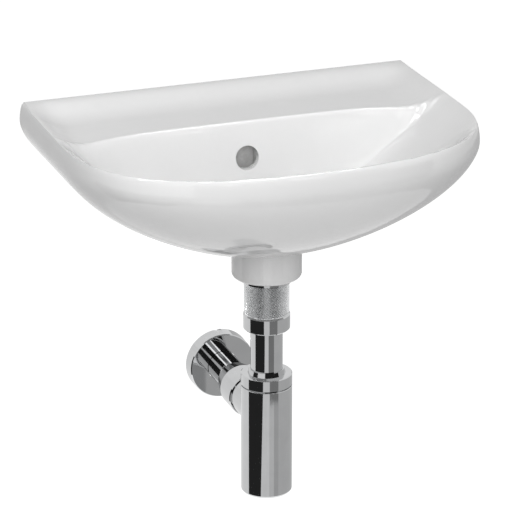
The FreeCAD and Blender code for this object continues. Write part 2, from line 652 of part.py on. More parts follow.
def make_outlet_nut():
    start = OUTLET_NUT_START
    end = start + OUTLET_NUT_LENGTH
    edge = OUTLET_NUT_EDGE
    thread = SOCKET_R + GAP
    hole = TUBE_R + GAP
    seat = SOCKET_REACH + OUTLET_SEAL_T
    points = [(thread, start), (OUTLET_NUT_R - edge, start), (OUTLET_NUT_R, start + edge)]
    points += [(OUTLET_NUT_R, end - OUTLET_NUT_CONE), (OUTLET_NUT_MOUTH_R, end - edge)]
    points += [(OUTLET_NUT_MOUTH_R - edge, end), (hole, end), (hole, seat), (thread, seat)]
    return turned(points, TRAP_AXIS, TO_WALL)


def make_outlet_seal():
    return ring(OUTLET_SEAL_R, TUBE_R + GAP, SOCKET_REACH, SOCKET_REACH + OUTLET_SEAL_T, TRAP_AXIS, TO_WALL)


def make_outlet_tube():
    start = SOCKET_REACH - TUBE_INSERTION
    tube = ring(TUBE_R, TUBE_BORE_R, start, WALL_INSERTION - DRAIN_Y, TRAP_AXIS, TO_WALL)
    groove_r = TUBE_R - INSERTION_MARK_DEPTH
    return tube.cut(ring(TUBE_R + OVERRUN, groove_r, -INSERTION_MARK, 0, WALL_POINT, TO_WALL))


def make_wall_rosette():
    hole = TUBE_R + RUN_GAP
    front = ROSETTE_DEPTH
    back = ROSETTE_DEPTH - ROSETTE_SHEET
    edge = ROSETTE_EDGE
    points = [(ROSETTE_R, 0), (ROSETTE_FRONT_R + edge, front - edge), (ROSETTE_FRONT_R, front)]
    points += [(hole, front), (hole, back), (ROSETTE_FRONT_R, back), (ROSETTE_R - ROSETTE_SHEET, 0)]
    return turned(points, WALL_POINT, FROM_WALL)


def make_rosette_grip():
    hole = TUBE_R + RUN_GAP
    front = ROSETTE_DEPTH - ROSETTE_SHEET
    return ring(hole + GRIP_WALL, hole, front - GRIP_T, front, WALL_POINT, FROM_WALL)


PIECES = {
    "basin": make_basin,
    "waste_body": make_waste_body,
    "waste_flange_seal": make_waste_flange_seal,
    "push_plug": make_push_plug,
    "push_plug_seal": make_push_plug_seal,
    "push_plug_stem": make_push_plug_stem,
    "plug_catch": make_plug_catch,
    "plug_spring": make_plug_spring,
    "boss_seal": make_boss_seal,
    "boss_flange": make_boss_flange,
    "knurled_sleeve": make_knurled_sleeve,
    "tail_nut": make_tail_nut,
    "tail_seal": make_tail_seal,
    "inlet_tube": make_inlet_tube,
    "gland_ring": make_gland_ring,
    "trap_cap": make_trap_cap,
    "trap_cap_seal": make_trap_cap_seal,
    "trap_body": make_trap_body,
    "cleaning_plug": make_cleaning_plug,
    "cleaning_plug_seal": make_cleaning_plug_seal,
    "outlet_nut": make_outlet_nut,
    "outlet_seal": make_outlet_seal,
    "outlet_tube": make_outlet_tube,
    "wall_rosette": make_wall_rosette,
    "rosette_grip": make_rosette_grip,
}

os.makedirs("parts", exist_ok=True)
for name, make in PIECES.items():
    shape = make()
    print(name, shape.isValid(), len(shape.Solids), round(shape.Volume, 1))
    shape.exportStep("parts/" + name + ".step")
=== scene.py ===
"""Wall hung hand basin with its push plug waste, bottle trap and wall rosette.

The solids come from the frame. This script gives them their finishes, cuts the knurling of the
sleeve and sets up the studio. Lengths are in metres. +X is to the right of a person facing the
wall, +Y points into the wall and +Z is up. The origin is midway between the two wall screw
holes, on the wall face.
"""
import math

import bmesh
import bpy
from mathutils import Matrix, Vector


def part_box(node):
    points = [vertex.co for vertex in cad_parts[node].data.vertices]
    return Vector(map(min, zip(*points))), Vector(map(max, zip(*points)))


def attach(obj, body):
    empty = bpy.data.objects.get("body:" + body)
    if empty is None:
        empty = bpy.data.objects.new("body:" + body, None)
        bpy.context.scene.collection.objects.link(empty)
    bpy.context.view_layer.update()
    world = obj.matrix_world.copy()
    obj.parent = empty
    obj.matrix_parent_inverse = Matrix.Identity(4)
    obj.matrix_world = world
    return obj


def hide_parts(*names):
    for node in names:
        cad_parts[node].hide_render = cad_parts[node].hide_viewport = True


bl_info = {
    "name": "Wall Hung Basin",
    "version": (1, 0, 0),
    "blender": (4, 5, 0),
    "location": "View3D > Sidebar > Basin",
    "description": "Glaze, chrome, seals and studio for a wall hung hand basin",
    "category": "Object",
}

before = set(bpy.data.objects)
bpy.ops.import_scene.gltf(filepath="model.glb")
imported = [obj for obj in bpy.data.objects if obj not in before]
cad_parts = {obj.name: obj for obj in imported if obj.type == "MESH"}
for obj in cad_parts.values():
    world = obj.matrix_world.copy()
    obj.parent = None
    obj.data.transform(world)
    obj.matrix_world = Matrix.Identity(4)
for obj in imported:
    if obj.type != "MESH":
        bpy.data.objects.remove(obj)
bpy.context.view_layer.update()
SLEEVE_LOW, SLEEVE_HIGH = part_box("knurled_sleeve")

# The basin's three finishes, the third of them painted shade inside the overflow, and where the
# other two take over from the full glaze
FULL_GLAZE, BARE_BODY, PASSAGE_PAINTED_SHADE = range(3)
WALL_FACE_DEPTH = 0.0003      # faces nearer the wall than this were left unglazed
PASSAGE_SIDE = 0.0125         # half width of the overflow passage behind its hole
PASSAGE_FRONT = -0.0868       # where the passage starts, behind the bowl's wall
PASSAGE_BACK = -0.0725        # where it ends, towards the wall
PASSAGE_TOP = 0.0098          # its upper end

# Finishes
NOISE_LOW = 0.3               # most of a noise lies between these two values
NOISE_HIGH = 0.7
GLAZE_IOR = 1.52
ACETAL_IOR = 1.48
PINHOLE_SHARE = 0.03          # height of the glaze's pinholes, as a share of its slow wave
POLISH_LINE_SHARE = 0.1       # height of the chrome's polishing lines, as a share of its wave
POLISH_STRETCH = (1.0, 1.0, 40.0)   # squeezes a noise into lines round the upright axis
TURNING_STRETCH = (1.0, 1.0, 30.0)

# Knurled sleeve
SLEEVE_BORE = 0.02045         # bore of the knurled sleeve, round the waste's thread
LAND = 0.0011                 # plain land at each end of the knurling
LAND_CHAMFER = 0.0004
LAND_SINK = 0.0002            # how far the lands lie under the diamonds' tops
DIAMOND_TOP = 0.34            # flat top of a diamond, as a share of its width
LEAST_ROW_PAIRS = 2

# Cards and boxes that the polished surfaces reflect. Their greys are shares of white.
CARD_STEPS = 24               # straight parts of a card that is bent round the trap
FAN_STEPS = 16                # and of one that stands parallel to the wall
CARD_MOTTLE = 0.03            # how far a card's grey varies, either way
CARD_RING = 0.8               # radius of the innermost cards round the trap
CARD_GAP = 0.02               # from one layer of cards to the next
CARD_TOP = -0.10              # upper end of the low cards
BLACK_CARD = 0.02
STRIP_TURN = 12.0             # degrees that a pale strip takes up
STRIP_GLOW = 2.6
BACK_FAN = (0.243, 0.2535)    # inner and outer reach of the card and strips behind the basin
FRONT_FAN = (0.48, 0.57)      # and of the strips in front of it
BACK_CARD_Y = 0.35
BACK_STRIP_Y = 0.345
FRONT_STRIP_Y = -0.90
BOX_GLOW = 14.0
TOP_BOX_RING = 0.66
LEFT_BOX_RING = 0.90
TOP_BOX_HEIGHTS = (0.95, 1.75)
LEFT_BOX_HEIGHTS = (0.55, 1.90)

# Lamps, floor and camera
LAMP_AIM = (0.0, -0.15, 0.0)
LAMPS = (                     # name, place, width, height, setting that holds its power
    ("top_lamp", (0.08, -0.80, 1.36), 1.0, 0.3, "top_watts"),
    ("left_lamp", (-0.94, -0.49, 1.11), 0.16, 0.9, "left_watts"),
    ("front_lamp", (-0.5, -2.4, 0.9), 2.0, 1.4, "front_watts"),
    ("high_lamp", (-0.35, -1.7, 1.75), 1.2, 0.8, "high_watts"),
)
WHITE = (1.0, 1.0, 1.0, 1.0)
FLOOR_REACH = 12.0            # from the origin to the floor's edges
FLOOR_DARKER = 0.78
FLOOR_LIGHTER = 0.82
CLIP_NEAR = 0.05
CLIP_FAR = 100.0


# ---------------------------------------------------------------- finishes


def new_finish(name):
    """An empty node material and its surface shader."""
    finish = bpy.data.materials.new(name)
    finish.use_nodes = True
    shader = finish.node_tree.nodes["Principled BSDF"]
    return finish, shader


def new_metal(name):
    """A node material for metal and its surface shader."""
    finish, shader = new_finish(name)
    shader.inputs["Metallic"].default_value = 1.0
    return finish, shader


def add_node(finish, kind, inputs=(), **settings):
    """A node with its settings, with values or links on the named inputs."""
    node = finish.node_tree.nodes.new(kind)
    for key, value in settings.items():
        setattr(node, key, value)
    for key, value in dict(inputs).items():
        if isinstance(value, bpy.types.NodeSocket):
            finish.node_tree.links.new(value, node.inputs[key])
        else:
            node.inputs[key].default_value = value
    return node


def object_place(finish, stretch=(1.0, 1.0, 1.0)):
    """Place on the piece in metres, stretched along its axes."""
    place = add_node(finish, "ShaderNodeTexCoord").outputs["Object"]
    inputs = {"Vector": place, "Scale": stretch}
    return add_node(finish, "ShaderNodeMapping", inputs).outputs["Vector"]


def noise(finish, place, scale, detail=2.0, roughness=0.5):
    """Soft noise, with its scale in cells per metre."""
    inputs = {"Vector": place, "Scale": scale, "Detail": detail, "Roughness": roughness}
    return add_node(finish, "ShaderNodeTexNoise", inputs).outputs["Fac"]


def blend_between(finish, value, first, second):
    """Colour that goes from the first to the second over the usual range of a noise."""
    ramp = add_node(finish, "ShaderNodeValToRGB", {"Fac": value})
    ends = zip(ramp.color_ramp.elements, (NOISE_LOW, NOISE_HIGH), (first, second))
    for end, position, colour in ends:
        end.position = position
        end.color = (*colour, 1.0)
    return ramp.outputs["Color"]


def shade(colour, amount):
    """The colour, lighter or darker by a share."""
    return tuple(min(channel * (1.0 + amount), 1.0) for channel in colour)


def tint(finish, shader, value, colour, darker, lighter):
    """Colour that a noise varies, from one share off the given colour to another."""
    mixed = blend_between(finish, value, shade(colour, darker), shade(colour, lighter))
    finish.node_tree.links.new(mixed, shader.inputs["Base Color"])


def roughen(finish, shader, value, low, high):
    """Roughness that a noise varies from low to high."""
    inputs = {
        "Value": value, "From Min": NOISE_LOW, "From Max": NOISE_HIGH,
        "To Min": low, "To Max": high}
    spread = add_node(finish, "ShaderNodeMapRange", inputs).outputs["Result"]
    finish.node_tree.links.new(spread, shader.inputs["Roughness"])


def raise_surface(finish, shader, height, distance, under=None):
    """Bump of a height field, on top of an earlier one where there is one."""
    inputs = {"Height": height, "Distance": distance, "Strength": 1.0}
    if under is not None:
        inputs["Normal"] = under
    normal = add_node(finish, "ShaderNodeBump", inputs).outputs["Normal"]
    finish.node_tree.links.new(normal, shader.inputs["Normal"])
    return normal


def make_glaze(settings):
    """White sanitary glaze: clear, smooth and very slightly uneven over the fired body."""
    finish, shader = new_finish("white_glaze_finish")
    place = object_place(finish)
    cloud = noise(finish, place, settings.cloud_scale, detail=3.0)
    tint(finish, shader, cloud, settings.glaze_colour, darker=-0.012, lighter=0.008)
    film = noise(finish, place, scale=38.0)
    gloss = settings.glaze_roughness
    roughen(finish, shader, film, low=gloss * 0.8, high=gloss * 1.25)
    shader.inputs["IOR"].default_value = GLAZE_IOR
    flow = noise(finish, place, scale=55.0, detail=1.0)
    flowed = raise_surface(finish, shader, flow, settings.glaze_wave)
    pinholes = noise(finish, place, scale=900.0, detail=1.0)
    raise_surface(finish, shader, pinholes, settings.glaze_wave * PINHOLE_SHARE, under=flowed)
    return finish


def make_passage_painted_shade(settings):
    """Painted shade inside the overflow: a grey, uneven colour, darker than the glaze, that stands
    in for the shade there.
    """
    finish, shader = new_finish("passage_glaze_finish")
    patchiness = noise(finish, object_place(finish), scale=160.0, detail=4.0)
    tint(finish, shader, patchiness, settings.passage_shade_colour, darker=-0.1, lighter=0.06)
    roughen(finish, shader, patchiness, low=0.2, high=0.4)
    raise_surface(finish, shader, patchiness, distance=0.0001)
    return finish


def make_bisque(settings):
    """Bare fired body, ground flat where the basin meets the wall."""
    finish, shader = new_finish("ground_bisque_finish")
    grain = noise(finish, object_place(finish), scale=420.0, detail=6.0, roughness=0.65)
    tint(finish, shader, grain, settings.bisque_colour, darker=-0.07, lighter=0.04)
    roughen(finish, shader, grain, low=0.62, high=0.85)
    raise_surface(finish, shader, grain, distance=0.0002)
    return finish


def make_chrome(settings):
    """Bright chrome over polished brass, with the faint waviness that hand polishing leaves."""
    finish, shader = new_metal("bright_chrome_finish")
    place = object_place(finish)
    haze = noise(finish, place, scale=70.0, detail=4.0)
    tint(finish, shader, haze, settings.chrome_colour, darker=-0.03, lighter=0.02)
    gloss = settings.chrome_roughness
    roughen(finish, shader, haze, low=gloss * 0.7, high=gloss * 1.5)
    wave = noise(finish, place, scale=90.0, detail=1.0)
    waved = raise_surface(finish, shader, wave, settings.chrome_wave)
    lines = noise(finish, object_place(finish, POLISH_STRETCH), scale=160.0)
    raise_surface(finish, shader, lines, settings.chrome_wave * POLISH_LINE_SHARE, under=waved)
    return finish


def make_knurl_chrome_painted_light(settings):
    """Satin chrome of the knurled grip, with a fine grit, and with painted light lifting its
    colour.
    """
    finish, shader = new_metal("knurl_chrome_finish")
    grit = noise(finish, object_place(finish), scale=800.0, detail=3.0, roughness=0.6)
    # Painted light: the colour is lifted by up to 45 % above the chrome's, in a fine speckle, to
    # make up for the shade in the grooves.
    tint(finish, shader, grit, settings.chrome_colour, darker=0.0, lighter=0.45)
    roughen(finish, shader, grit, low=0.16, high=0.34)
    raise_surface(finish, shader, grit, distance=0.00006)
    return finish


def make_brass(settings):
    """Turned brass of the plug's stem, with its tool marks round the axis."""
    finish, shader = new_metal("turned_brass_finish")
    marks = noise(finish, object_place(finish, TURNING_STRETCH), scale=260.0, detail=3.0)
    tint(finish, shader, marks, settings.brass_colour, darker=-0.12, lighter=0.06)
    roughen(finish, shader, marks, low=0.18, high=0.32)
    raise_surface(finish, shader, marks, distance=0.00002)
    return finish


def make_spring_steel(settings):
    """Drawn spring wire with a thin dark film of oil."""
    finish, shader = new_metal("spring_wire_finish")
    film = noise(finish, object_place(finish), scale=700.0, detail=3.0)
    tint(finish, shader, film, settings.spring_colour, darker=-0.2, lighter=0.1)
    roughen(finish, shader, film, low=0.2, high=0.4)
    raise_surface(finish, shader, film, distance=0.00001)
    return finish


def make_white_plastic(settings):
    """Moulded white acetal of the catch, faintly grained."""
    finish, shader = new_finish("white_acetal_finish")
    grain = noise(finish, object_place(finish), scale=900.0, detail=4.0)
    tint(finish, shader, grain, settings.plastic_colour, darker=-0.03, lighter=0.02)
    roughen(finish, shader, grain, low=0.34, high=0.46)
    shader.inputs["IOR"].default_value = ACETAL_IOR
    raise_surface(finish, shader, grain, distance=0.00003)
    return finish


def make_black_rubber(settings):
    """Black rubber of the seals with its matt bloom."""
    finish, shader = new_finish("seal_rubber_finish")
    bloom = noise(finish, object_place(finish), scale=500.0, detail=5.0, roughness=0.6)
    tint(finish, shader, bloom, settings.rubber_colour, darker=-0.2, lighter=0.35)
    roughen(finish, shader, bloom, low=0.5, high=0.72)
    raise_surface(finish, shader, bloom, distance=0.00005)
    return finish


def finish_named(name, make, settings):
    """The named finish, made the first time that a piece asks for it."""
    return bpy.data.materials.get(name) or make(settings)


def basin_finish_at(point):
    """Which of the basin's three finishes a point of it has."""
    if point.y > -WALL_FACE_DEPTH:
        return BARE_BODY
    # The overflow passage behind its hole gets painted shade: a darker grey that stands in for the
    # shade falling there.
    in_depth = PASSAGE_FRONT < point.y < PASSAGE_BACK
    if in_depth and abs(point.x) < PASSAGE_SIDE and point.z < PASSAGE_TOP:
        return PASSAGE_PAINTED_SHADE
    return FULL_GLAZE


def dress(nodes, finish):
    """Puts one finish and its record slot on CAD nodes."""
    for name in nodes:
        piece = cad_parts[name]
        piece.data.materials.clear()
        piece.data.materials.append(finish)


# ---------------------------------------------------------------- knurled sleeve


def ring_points(mesh, centre, radius, height, count):
    """One closed ring of vertices round the upright axis."""
    ring = []
    for step in range(count):
        angle = 2.0 * math.pi * step / count
        x = centre.x + radius * math.cos(angle)
        y = centre.y + radius * math.sin(angle)
        ring.append(mesh.verts.new((x, y, height)))
    return ring


def join_rings(mesh, rings):
    """Faces between each ring and the next one."""
    for lower, upper in zip(rings, rings[1:]):
        count = len(lower)
        for step in range(count):
            after = (step + 1) % count
            mesh.faces.new((lower[step], lower[after], upper[after], upper[step]))


def knurl_mesh(centre, radius, low, high, count, depth):
    """Sleeve with rows of flat-topped diamonds between two plain lands."""
    mesh = bmesh.new()
    columns = 2 * count
    band_low = low + LAND
    band_high = high - LAND
    pitch = math.pi * radius / count
    rows = 2 * max(round((band_high - band_low) / pitch / 2.0), LEAST_ROW_PAIRS)
    row_height = (band_high - band_low) / rows
    groove = radius - depth

    def at(column, row, reach):
        angle = math.pi * column / count
        x = centre.x + reach * math.cos(angle)
        y = centre.y + reach * math.sin(angle)
        return mesh.verts.new((x, y, band_low + row * row_height))

    crossings = {}
    for row in range(rows + 1):
        for column in range(row % 2, columns, 2):
            crossings[column, row] = at(column, row, groove)
        if row in (0, rows):
            for column in range(1 - row % 2, columns, 2):
                crossings[column, row] = at(column, row, groove)
    for row in range(rows + 1):
        # The end rows have half diamonds, closed over their middle point between these corners.
        # In the upper row that should be 0 and 1: with 1 and 2 each one leaves a small gap.
        first, last = (2, 0) if row == 0 else (1, 2)
        for column in range(1 - row % 2, columns, 2):
            corners = []
            tops = []
            for across, up in ((1, 0), (0, 1), (-1, 0), (0, -1)):
                if 0 <= row + up <= rows:
                    corners.append(crossings[(column + across) % columns, row + up])
                    tops.append(at(column + across * DIAMOND_TOP, row + up * DIAMOND_TOP, radius))
            half = len(corners) == 3
            if not half:
                mesh.faces.new(tops)
            for i in range(len(corners)):
                j = (i + 1) % len(corners)
                if half and i == first:
                    continue
                mesh.faces.new((corners[i], corners[j], tops[j], tops[i]))
            if half:
                mesh.faces.new(tops)
                middle = crossings[column, row]
                mesh.faces.new((corners[first], middle, corners[last], tops[last], tops[first]))
    land = radius - LAND_SINK
    neck = land - LAND_CHAMFER
    foot = [crossings[column, 0] for column in range(columns)]
    head = [crossings[column, rows] for column in range(columns)]
    lower_end = [
        (SLEEVE_BORE, low), (neck, low), (land, low + LAND_CHAMFER), (land, low + LAND - depth)]
    lower_rings = [ring_points(mesh, centre, r, z, columns) for r, z in lower_end]
    join_rings(mesh, lower_rings + [foot])
    upper_end = [
        (land, high - LAND + depth), (land, high - LAND_CHAMFER), (neck, high), (SLEEVE_BORE, high)]
    upper_rings = [ring_points(mesh, centre, r, z, columns) for r, z in upper_end]
    join_rings(mesh, [head] + upper_rings + [lower_rings[0]])
    bmesh.ops.recalc_face_normals(mesh, faces=mesh.faces)
    made = bpy.data.meshes.new("knurled_grip")
    mesh.to_mesh(made)
    mesh.free()
    return made


# ---------------------------------------------------------------- studio


def sheet_of(name, rows):
    """A curved or flat sheet through rows of points."""
    made = bpy.data.meshes.new(name)
    points = [point for row in rows for point in row]
    wide = len(rows[0])
    faces = []
    for r in range(len(rows) - 1):
        for c in range(wide - 1):
            a = r * wide + c
            faces.append((a, a + 1, a + 1 + wide, a + wide))
    made.from_pydata(points, [], faces)
    sheet = bpy.data.objects.new(name, made)
    bpy.context.scene.collection.objects.link(sheet)
    return sheet


def paper(name, grey):
    """Card of one grey, faintly mottled as painted board is."""
    board = bpy.data.materials.new(name)
    board.use_nodes = True
    board.node_tree.nodes.clear()
    mottle = noise(board, object_place(board), scale=30.0)
    darker = (grey * (1.0 - CARD_MOTTLE),) * 3
    lighter = (grey * (1.0 + CARD_MOTTLE),) * 3
    tone = blend_between(board, mottle, darker, lighter)
    glow = add_node(board, "ShaderNodeEmission", {"Color": tone, "Strength": 1.0})
    add_node(board, "ShaderNodeOutputMaterial", {"Surface": glow.outputs["Emission"]})
    board.cycles.emission_sampling = "NONE"
    return board


def gloss_card(name, rows, grey):
    """Card that is seen in polished surfaces only, as one held beside the camera is."""
    card = sheet_of(name, rows)
    card.visible_camera = False
    card.visible_diffuse = False
    card.visible_shadow = False
    card.visible_transmission = False
    card.visible_volume_scatter = False
    card.data.materials.append(paper(name + "_board", grey))


def angles_between(first, last, steps):
    """Even steps between two angles in degrees, as radians."""
    return [math.radians(first + (last - first) * step / steps) for step in range(steps + 1)]


def card_round(name, axis, radius, levels, grey):
    """Card bent round the upright axis, from (height, first heading, last heading) levels."""
    rows = []
    for height, first, last in levels:
        row = []
        for heading in angles_between(first, last, CARD_STEPS):
            x = axis.x + radius * math.sin(heading)
            y = axis.y - radius * math.cos(heading)
            row.append((x, y, height))
        rows.append(row)
    gloss_card(name, rows, grey)


def upright_card(name, axis, radius, heights, headings, grey):
    """Card bent round the upright axis, between two heights and two headings."""
    card_round(name, axis, radius, [(height, *headings) for height in heights], grey)


def card_fan(name, centre, y, reaches, leans, grey):
    """Card parallel to the wall: part of a ring round a point, in degrees from upright."""
    rows = []
    for reach in reaches:
        row = []
        for lean in angles_between(*leans, FAN_STEPS):
            x = centre.x + reach * math.sin(lean)
            z = centre.z + reach * math.cos(lean)
            row.append((x, y, z))
        rows.append(row)
    gloss_card(name, rows, grey)


def hang_cards(floor):
    """Hangs the cards round the trap, behind the outlet tube and over the basin."""
    axis = (SLEEVE_LOW + SLEEVE_HIGH) / 2.0
    inner = CARD_RING
    middle = CARD_RING + CARD_GAP
    outer = CARD_RING + 2.0 * CARD_GAP
    edge = -106.5
    slanted = [
        (floor, edge, -52.0), (-0.52, edge, -33.5), (-0.30, edge, -30.0), (CARD_TOP, edge, -30.0)]
    card_round("left_card", axis, inner, slanted, 0.026)
    upright_card("far_left_card", axis, middle, (floor, -0.02), (-200.0, -105.5), 0.95)
    upright_card("front_pale_card", axis, outer, (floor, CARD_TOP), (-56.0, -4.0), 0.84)
    upright_card("front_low_card", axis, middle, (floor, CARD_TOP), (-8.0, 13.0), 0.70)
    upright_card("front_mid_card", axis, middle, (floor, CARD_TOP), (13.0, 34.0), 0.52)
    upright_card("front_card", axis, inner, (-0.575, CARD_TOP), (-6.0, 33.0), 0.26)
    upright_card("front_high_card", axis, inner, (-0.22, 0.32), (-30.0, 33.0), BLACK_CARD)
    upright_card("right_high_card", axis, inner, (-0.34, 0.10), (33.0, 56.0), BLACK_CARD)
    upright_card("right_card", axis, outer, (floor, CARD_TOP), (34.0, 160.0), 0.60)
    tube_low, tube_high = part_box("outlet_tube")
    tube = (tube_low + tube_high) / 2.0
    card_fan("back_card", tube, BACK_CARD_Y, BACK_FAN, (-58.0, 40.0), BLACK_CARD)
    for side, first in (("left", -22.0), ("right", 15.0)):
        leans = (first, first + STRIP_TURN)
        card_fan("back_" + side + "_strip", tube, BACK_STRIP_Y, BACK_FAN, leans, STRIP_GLOW)
        card_fan("front_" + side + "_strip", tube, FRONT_STRIP_Y, FRONT_FAN, leans, STRIP_GLOW)
    upright_card("top_left_box", axis, TOP_BOX_RING, TOP_BOX_HEIGHTS, (-31.0, -19.0), BOX_GLOW)
    upright_card("top_right_box", axis, TOP_BOX_RING, TOP_BOX_HEIGHTS, (-4.0, 47.0), BOX_GLOW)
    upright_card("left_box", axis, LEFT_BOX_RING, LEFT_BOX_HEIGHTS, (-76.0, -65.0), BOX_GLOW)


def look_from(place, aim):
    """Turn of a lamp or camera that looks from a place at an aim."""
    return (Vector(aim) - Vector(place)).to_track_quat("-Z", "Y").to_euler()


def soft_lamp(name, place, width, height, watts):
    """Large soft box aimed at the basin. The cards stand for it in polished surfaces."""
    data = bpy.data.lights.new(name, "AREA")
    data.shape = "RECTANGLE"
    data.size = width
    data.size_y = height
    data.energy = watts
    lamp = bpy.data.objects.new(name, data)
    lamp.location = place
    lamp.visible_glossy = False
    lamp.rotation_euler = look_from(place, LAMP_AIM)
    bpy.context.scene.collection.objects.link(lamp)


def seen_directly(finish):
    """1 for rays from the camera, from gloss and through glass, and 0 for those that give light."""
    path = add_node(finish, "ShaderNodeLightPath").outputs
    inputs = {0: path["Is Camera Ray"], 1: path["Is Glossy Ray"]}
    camera_or_gloss = add_node(finish, "ShaderNodeMath", inputs, operation="MAXIMUM")
    inputs = {0: camera_or_gloss.outputs[0], 1: path["Is Transmission Ray"]}
    return add_node(finish, "ShaderNodeMath", inputs, operation="MAXIMUM").outputs[0]


def make_floor_finish(settings):
    """Pale matt floor that shows white and keeps shadows, and is clear from below."""
    finish = bpy.data.materials.new("pale_floor")
    finish.use_nodes = True
    finish.node_tree.nodes.clear()
    mottle = noise(finish, object_place(finish), scale=6.0, detail=3.0)
    tone = blend_between(finish, mottle, (FLOOR_DARKER,) * 3, (FLOOR_LIGHTER,) * 3)
    matt = add_node(finish, "ShaderNodeBsdfDiffuse", {"Color": tone}).outputs["BSDF"]
    inputs = {0: seen_directly(finish), 1: settings.floor_lift}
    lift = add_node(finish, "ShaderNodeMath", inputs, operation="MULTIPLY").outputs[0]
    glow = add_node(finish, "ShaderNodeEmission", {"Strength": lift}).outputs["Emission"]
    top = add_node(finish, "ShaderNodeAddShader", {0: matt, 1: glow}).outputs["Shader"]
    clear = add_node(finish, "ShaderNodeBsdfTransparent").outputs["BSDF"]
    behind = add_node(finish, "ShaderNodeNewGeometry").outputs["Backfacing"]
    both = add_node(finish, "ShaderNodeMixShader", {0: behind, 1: top, 2: clear})
    add_node(finish, "ShaderNodeOutputMaterial", {"Surface": both.outputs["Shader"]})
    finish.cycles.emission_sampling = "NONE"
    return finish


def make_world(settings):
    """Even light from all round, which is seen as white."""
    world = bpy.data.worlds.new("studio_air")
    world.use_nodes = True
    world.node_tree.nodes.clear()
    white = add_node(world, "ShaderNodeBackground", {"Color": WHITE, "Strength": 1.0})
    inputs = {"Color": WHITE, "Strength": settings.air_level}
    plain = add_node(world, "ShaderNodeBackground", inputs)
    inputs = {0: seen_directly(world), 1: plain.outputs[0], 2: white.outputs[0]}
    both = add_node(world, "ShaderNodeMixShader", inputs)
    add_node(world, "ShaderNodeOutputWorld", {"Surface": both.outputs[0]})
    world.cycles.sampling_method = "NONE"
    return world


def lay_floor(settings):
    """Lays a flat floor under the basin."""
    ends = (-FLOOR_REACH, 0.0, FLOOR_REACH)
    rows = [[(x, y, settings.floor_height) for x in ends] for y in ends]
    sheet_of("floor", rows).data.materials.append(make_floor_finish(settings))


def set_camera(scene, settings):
    """Sets up the camera at the photograph's viewing angle."""
    data = bpy.data.cameras.new("photo_camera")
    data.lens = settings.camera_lens
    data.clip_start = CLIP_NEAR
    data.clip_end = CLIP_FAR
    camera = bpy.data.objects.new("photo_camera", data)
    camera.location = settings.camera_place
    camera.rotation_euler = look_from(settings.camera_place, settings.camera_aim)
    scene.collection.objects.link(camera)
    scene.camera = camera


# ---------------------------------------------------------------- settings


class BasinGlazeSettings(bpy.types.PropertyGroup):
    glaze_colour: bpy.props.FloatVectorProperty(
        name="Glaze Colour", description="Colour of the fired glaze", subtype="COLOR", size=3,
        min=0.0, max=1.0, default=(0.88, 0.88, 0.88))
    bisque_colour: bpy.props.FloatVectorProperty(
        name="Bisque Colour", description="Colour of the bare body on the wall face",
        subtype="COLOR", size=3, min=0.0, max=1.0, default=(0.74, 0.70, 0.63))
    # This colour is painted shade for the inside of the overflow, not a thinner glaze.
    passage_shade_colour: bpy.props.FloatVectorProperty(
        name="Passage Shade Colour", description="Colour of the thin glaze inside the overflow",
        subtype="COLOR", size=3, min=0.0, max=1.0, default=(0.62, 0.62, 0.615))
    glaze_roughness: bpy.props.FloatProperty(
        name="Glaze Roughness", description="Blur of the glaze's reflections", subtype="FACTOR",
        min=0.0, max=1.0, default=0.045)
    glaze_wave: bpy.props.FloatProperty(
        name="Glaze Wave", description="Height of the slow unevenness in the glaze",
        subtype="DISTANCE", min=0.0, default=0.00012)
    cloud_scale: bpy.props.FloatProperty(
        name="Cloud Scale", description="Clouds per metre in the glaze's colour", min=0.0,
        default=14.0)


class BasinChromeSettings(bpy.types.PropertyGroup):
    chrome_colour: bpy.props.FloatVectorProperty(
        name="Chrome Colour", description="Colour of the polished chrome", subtype="COLOR", size=3,
        min=0.0, max=1.0, default=(0.55, 0.555, 0.56))
    chrome_roughness: bpy.props.FloatProperty(
        name="Chrome Roughness", description="Blur of the chrome's reflections", subtype="FACTOR",
        min=0.0, max=1.0, default=0.04)
    chrome_wave: bpy.props.FloatProperty(
        name="Chrome Wave", description="Height of the waviness left by polishing",
        subtype="DISTANCE", min=0.0, default=0.00001)
    knurl_count: bpy.props.IntProperty(
        name="Knurl Count", description="Diamonds round the sleeve", min=24, max=120, default=52)
    knurl_depth: bpy.props.FloatProperty(
        name="Knurl Depth", description="Depth of the knurling's grooves", subtype="DISTANCE",
        min=0.0, default=0.0008)


class BasinFittingSettings(bpy.types.PropertyGroup):
    brass_colour: bpy.props.FloatVectorProperty(
        name="Brass Colour", description="Colour of the plug's turned stem", subtype="COLOR",
        size=3, min=0.0, max=1.0, default=(0.70, 0.51, 0.24))
    spring_colour: bpy.props.FloatVectorProperty(
        name="Spring Colour", description="Colour of the catch's spring wire", subtype="COLOR",
        size=3, min=0.0, max=1.0, default=(0.42, 0.42, 0.43))
    plastic_colour: bpy.props.FloatVectorProperty(
        name="Plastic Colour", description="Colour of the catch's moulding", subtype="COLOR",
        size=3, min=0.0, max=1.0, default=(0.78, 0.77, 0.74))
    rubber_colour: bpy.props.FloatVectorProperty(
        name="Rubber Colour", description="Colour of the seals", subtype="COLOR", size=3,
        min=0.0, max=1.0, default=(0.030, 0.030, 0.031))


